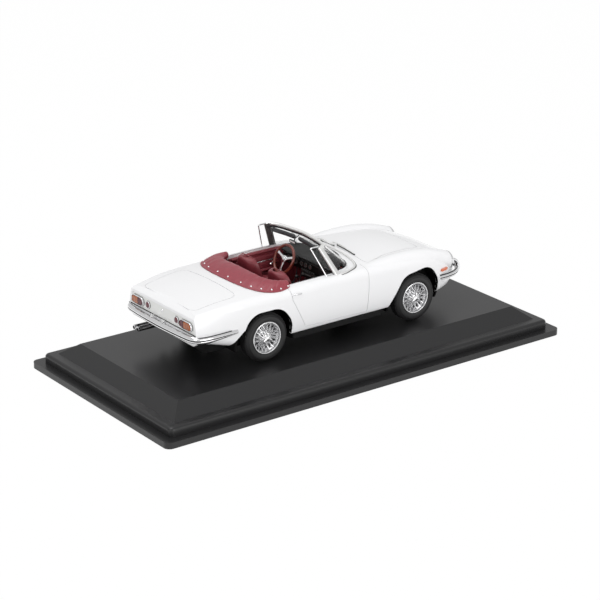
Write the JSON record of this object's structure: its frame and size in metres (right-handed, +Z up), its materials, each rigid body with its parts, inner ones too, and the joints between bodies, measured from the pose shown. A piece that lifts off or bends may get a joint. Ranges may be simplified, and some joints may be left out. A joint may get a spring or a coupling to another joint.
{
  "type": "die-cast scale model of an open roadster on a display plinth",
  "caption": "Small display model of a white open two-seat roadster with a burgundy cabin and wire wheels that turn, fixed on a black stepped plinth.",
  "frame": {"origin": "centre of the plinth's underside", "axes": "+X towards the car's nose, +Y towards its left side, +Z up"},
  "size_m": [0.1464, 0.075, 0.0382],
  "materials": {
    "body_paint": "gloss white enamel over zinc casting",
    "plinth_plastic": "satin black moulding",
    "chassis_plastic": "matt black moulding",
    "screw_steel": "zinc plated",
    "chrome_trim": "vacuum plated",
    "tyre_rubber": "matt",
    "cabin_trim": "satin burgundy, moulded as stitched trim",
    "dash_black": "matt",
    "gauge_face": null,
    "wheel_rim_brown": "red-brown, as varnished wood",
    "screen_glass": "clear plastic",
    "lamp_glass": "clear lens",
    "lens_red": "clear red",
    "lens_amber": "clear amber",
    "tail_silver": "satin silver"
  },
  "bodies": {
    "model": {"body_screws": "screw_steel", "body_shell": "body_paint", "chassis_base": "chassis_plastic", "dashboard": "dash_black", "display_plinth": "plinth_plastic", "door_handles": "chrome_trim", "door_trim_left": "cabin_trim", "door_trim_right": "cabin_trim", "exhaust_pipes": "chrome_trim", "front_bumper_left": "chrome_trim", "front_bumper_right": "chrome_trim", "front_turn_lamps": "lens_amber", "gauges": "gauge_face", "gear_lever": "dash_black", "grille": "chrome_trim", "headlamp_bezels": "chrome_trim", "headlamp_lenses": "lamp_glass", "interior_tub": "cabin_trim", "plate_lamps": "lamp_glass", "plinth_screws": "screw_steel", "quarter_window_frames": "chrome_trim", "quarter_window_glasses": "screen_glass", "rear_bumper": "chrome_trim", "rear_reflectors": "lens_red", "rear_view_mirror": "dash_black", "seat_left": "cabin_trim", "seat_right": "cabin_trim", "side_marker_lamps": "lens_amber", "steering_column": "dash_black", "steering_wheel_rim": "wheel_rim_brown", "steering_wheel_spokes": "chrome_trim", "sun_visors": "dash_black", "tail_lamp_bezels": "chrome_trim", "tail_lamps_amber": "lens_amber", "tail_lamps_red": "lens_red", "tail_panel": "tail_silver", "tonneau_cover": "cabin_trim", "tonneau_snaps": "chrome_trim", "windscreen_frame": "chrome_trim", "windscreen_glass": "screen_glass", "wipers": "chassis_plastic"},
    "front_wheels": {"front_axle": "screw_steel", "tyre_front_left": "tyre_rubber", "tyre_front_right": "tyre_rubber", "wheel_spinner_front_left": "chrome_trim", "wheel_spinner_front_right": "chrome_trim", "wire_wheel_front_left": "chrome_trim", "wire_wheel_front_right": "chrome_trim"},
    "rear_wheels": {"rear_axle": "screw_steel", "tyre_rear_left": "tyre_rubber", "tyre_rear_right": "tyre_rubber", "wheel_spinner_rear_left": "chrome_trim", "wheel_spinner_rear_right": "chrome_trim", "wire_wheel_rear_left": "chrome_trim", "wire_wheel_rear_right": "chrome_trim"}
  },
  "joints": [
    {"name": "front_axle_spin", "type": "hinge", "parent": "model", "child": "front_wheels", "pos_m": [0.0302, 0, 0.016], "axis": [0, 1, 0], "continuous": true},
    {"name": "rear_axle_spin", "type": "hinge", "parent": "model", "child": "rear_wheels", "pos_m": [-0.0256, 0, 0.016], "axis": [0, 1, 0], "continuous": true}
  ]
}
